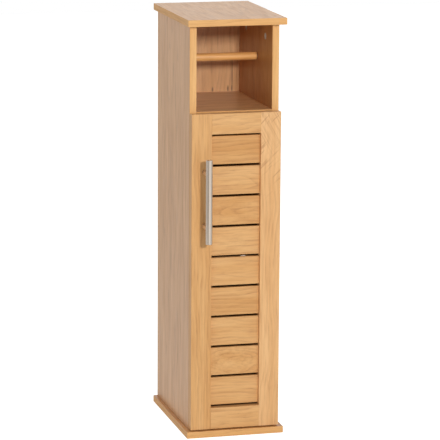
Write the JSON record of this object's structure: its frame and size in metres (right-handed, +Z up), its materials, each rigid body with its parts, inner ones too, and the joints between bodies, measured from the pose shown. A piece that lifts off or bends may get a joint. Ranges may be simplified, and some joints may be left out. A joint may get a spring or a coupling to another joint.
{
  "type": "toilet paper stand",
  "caption": "Narrow floor cabinet with an open roll bay and rail above a slatted cupboard door with a bar handle.",
  "frame": {"origin": "centre of the base panel's underside, where the stand meets the floor", "axes": "+X to the right seen from the front, +Y to the back, +Z up; the door faces -Y"},
  "size_m": [0.178, 0.295, 0.75],
  "materials": {
    "oak_board": "satin oak-effect foil",
    "oak_door": "satin oak veneer",
    "oak_rail": "satin turned wood",
    "beech_dowel": "raw turned beech",
    "brushed_nickel": "brushed nickel",
    "nickel_plate": "nickel plate",
    "zinc_fittings": "zinc plate",
    "magnet_steel": "satin",
    "plastic_trim": "moulded"
  },
  "bodies": {
    "cabinet": {"back_panel": "oak_board", "base_panel": "oak_board", "cam_bolts": "zinc_fittings", "cam_discs": "zinc_fittings", "catch_body": "plastic_trim", "catch_magnet": "magnet_steel", "hinge_arm_screws": "zinc_fittings", "hinge_plate_screws": "zinc_fittings", "inner_shelf": "oak_board", "left_side_panel": "oak_board", "lower_hinge_arm": "nickel_plate", "lower_hinge_plate": "nickel_plate", "mid_shelf": "oak_board", "panel_dowels": "beech_dowel", "rail_socket_left": "plastic_trim", "rail_socket_right": "plastic_trim", "right_side_panel": "oak_board", "shelf_pins": "zinc_fittings", "top_panel": "oak_board", "upper_hinge_arm": "nickel_plate", "upper_hinge_plate": "nickel_plate"},
    "door": {"door_bottom_rail": "oak_door", "door_bumpers": "plastic_trim", "door_dowels": "beech_dowel", "door_left_stile": "oak_door", "door_right_stile": "oak_door", "door_slat_1": "oak_door", "door_slat_2": "oak_door", "door_slat_3": "oak_door", "door_slat_4": "oak_door", "door_slat_5": "oak_door", "door_slat_6": "oak_door", "door_slat_7": "oak_door", "door_slat_8": "oak_door", "door_slat_9": "oak_door", "door_top_rail": "oak_door", "handle_bar": "brushed_nickel", "handle_post_lower": "brushed_nickel", "handle_post_upper": "brushed_nickel", "handle_screws": "zinc_fittings", "catch_strike": "zinc_fittings", "catch_strike_screw": "zinc_fittings", "hinge_cup_screws": "zinc_fittings", "lower_hinge_cup": "nickel_plate", "lower_hinge_pin": "nickel_plate", "upper_hinge_cup": "nickel_plate", "upper_hinge_pin": "nickel_plate"},
    "rail": {"roll_rail": "oak_rail", "rail_fixed_pin": "zinc_fittings", "rail_end_ring": "zinc_fittings", "rail_spring": "zinc_fittings"},
    "rail_pin": {"rail_sprung_pin": "zinc_fittings"}
  },
  "joints": [
    {"name": "door_hinge", "type": "hinge", "parent": "cabinet", "child": "door", "pos_m": [0.0745, -0.1185, 0.299], "axis": [0, 0, 1], "range_deg": [0, 95]},
    {"name": "rail_spin", "type": "hinge", "parent": "cabinet", "child": "rail", "pos_m": [0, -0.006, 0.6675], "axis": [1, 0, 0], "continuous": true},
    {"name": "rail_pin_press", "type": "slide", "parent": "rail", "child": "rail_pin", "axis": [1, 0, 0], "range_m": [-0.0062, 0], "stiffness_N_per_m": 600, "springref_m": 0.003, "deforming": ["rail_spring"]}
  ]
}
